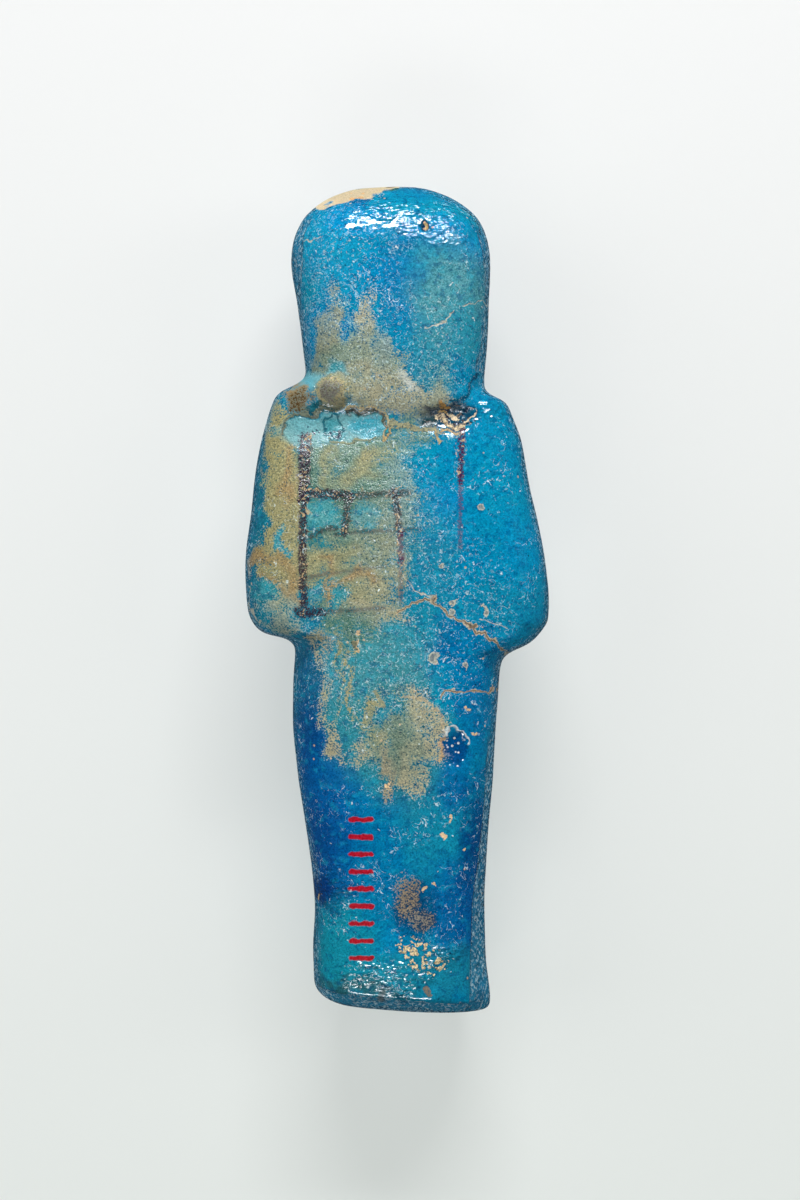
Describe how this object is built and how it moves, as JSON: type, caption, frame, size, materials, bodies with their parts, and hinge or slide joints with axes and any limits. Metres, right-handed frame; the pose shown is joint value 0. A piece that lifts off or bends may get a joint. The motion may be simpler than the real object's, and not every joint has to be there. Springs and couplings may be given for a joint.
{
  "type": "ushabti figurine",
  "caption": "Small moulded faience funerary figure with a long wig, crossed forearms and mummy-wrapped legs.",
  "frame": {"origin": "centre of the outline, in the plane that the fists and the toes rest on when the figure lies on its face", "axes": "+Y towards the crown, +Z out of the figure's flat back, X across the shoulders"},
  "size_m": [0.0406, 0.11, 0.025],
  "materials": {
    "blue_glaze": "gloss"
  },
  "bodies": {
    "root": {"figure": "blue_glaze"}
  },
  "joints": []
}
